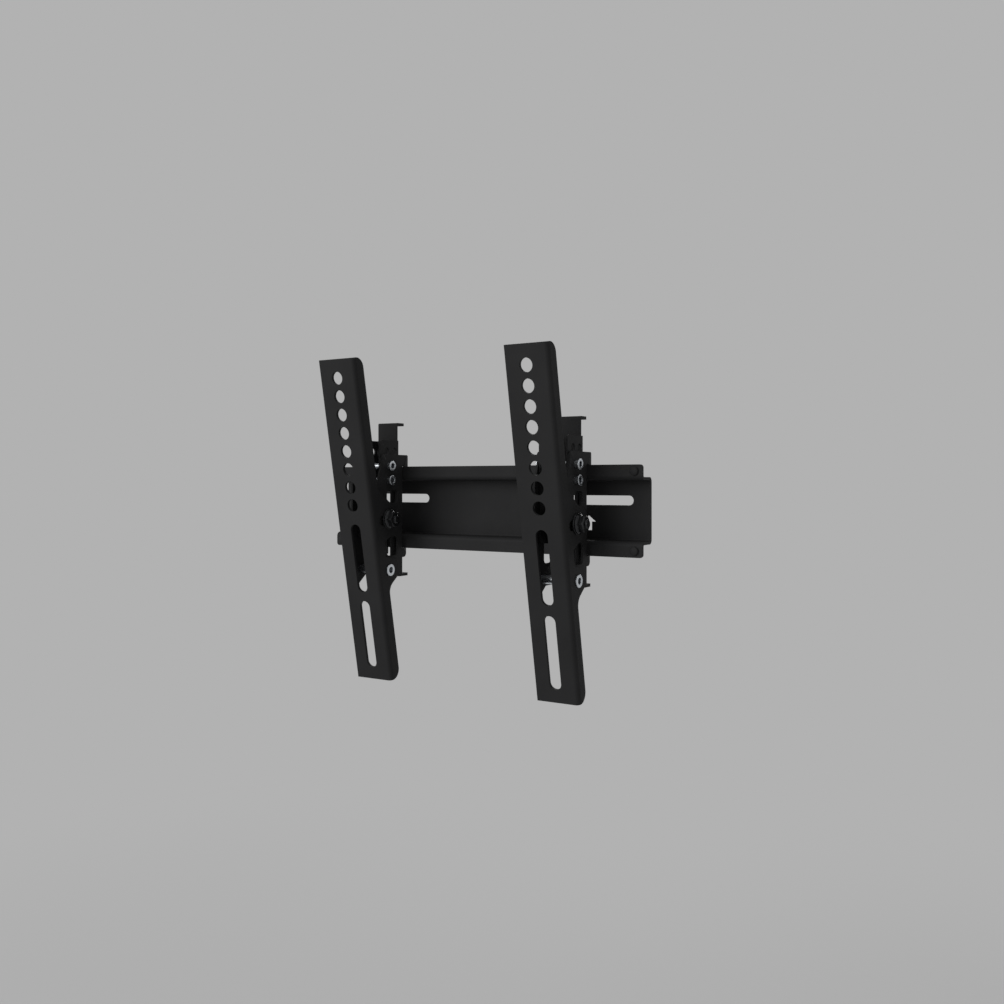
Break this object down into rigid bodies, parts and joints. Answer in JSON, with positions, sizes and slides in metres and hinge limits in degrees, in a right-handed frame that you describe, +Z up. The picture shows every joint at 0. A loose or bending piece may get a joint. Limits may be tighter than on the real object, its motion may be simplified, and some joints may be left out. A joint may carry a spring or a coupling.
{
  "type": "tv wall mount",
  "caption": "Tilting wall mount for a flat screen: a folded rail plate with long wall slots, and holed arms on hook brackets that slide along it, tilt on a pivot and lock with a sprung latch.",
  "frame": {"origin": "centre of the rail plate's back face, on the wall", "axes": "+X along the rail, +Y into the wall, +Z up"},
  "size_m": [0.25, 0.0746, 0.2257],
  "materials": {
    "powder_coat": "satin",
    "zinc_plate": "bright",
    "spring_steel": "bright",
    "black_steel": "satin",
    "friction_disc": "matte"
  },
  "bodies": {
    "wall": {"wall_plate": "powder_coat"},
    "left_bracket": {"left_hook_bracket": "powder_coat", "left_guide_channel": "powder_coat", "left_latch_spring": "spring_steel", "left_lower_cross_bolt": "zinc_plate", "left_lower_cross_nut": "zinc_plate", "left_upper_cross_bolt": "zinc_plate", "left_upper_cross_nut": "zinc_plate", "left_pivot_bolt": "zinc_plate", "left_pivot_washer": "zinc_plate", "left_pivot_nut": "zinc_plate", "left_tilt_bolt": "black_steel", "left_tilt_nut": "black_steel", "left_tilt_washer": "black_steel", "left_tilt_disc": "friction_disc"},
    "left_latch": {"left_release_latch": "powder_coat"},
    "left_arm": {"left_screen_arm": "powder_coat"},
    "right_bracket": {"right_hook_bracket": "powder_coat", "right_guide_channel": "powder_coat", "right_latch_spring": "spring_steel", "right_lower_cross_bolt": "zinc_plate", "right_lower_cross_nut": "zinc_plate", "right_upper_cross_bolt": "zinc_plate", "right_upper_cross_nut": "zinc_plate", "right_pivot_bolt": "zinc_plate", "right_pivot_washer": "zinc_plate", "right_pivot_nut": "zinc_plate", "right_tilt_bolt": "black_steel", "right_tilt_nut": "black_steel", "right_tilt_washer": "black_steel", "right_tilt_disc": "friction_disc"},
    "right_latch": {"right_release_latch": "powder_coat"},
    "right_arm": {"right_screen_arm": "powder_coat"}
  },
  "joints": [
    {"name": "left_rail_slide", "type": "slide", "parent": "wall", "child": "left_bracket", "axis": [1, 0, 0], "range_m": [-0.03, 0.05]},
    {"name": "left_tilt", "type": "hinge", "parent": "left_bracket", "child": "left_arm", "pos_m": [-0.0746, -0.0345, -0.044], "axis": [1, 0, 0], "range_deg": [-10.6, 1.4]},
    {"name": "left_release", "type": "slide", "parent": "left_bracket", "child": "left_latch", "axis": [0, 0, -1], "range_m": [0, 0.008], "stiffness_N_per_m": 200, "springref_m": -0.005, "deforming": ["left_latch_spring"]},
    {"name": "right_rail_slide", "type": "slide", "parent": "wall", "child": "right_bracket", "axis": [1, 0, 0], "range_m": [-0.05, 0.03]},
    {"name": "right_tilt", "type": "hinge", "parent": "right_bracket", "child": "right_arm", "pos_m": [0.0746, -0.0345, -0.044], "axis": [1, 0, 0], "range_deg": [-10.6, 1.4]},
    {"name": "right_release", "type": "slide", "parent": "right_bracket", "child": "right_latch", "axis": [0, 0, -1], "range_m": [0, 0.008], "stiffness_N_per_m": 200, "springref_m": -0.005, "deforming": ["right_latch_spring"]}
  ]
}
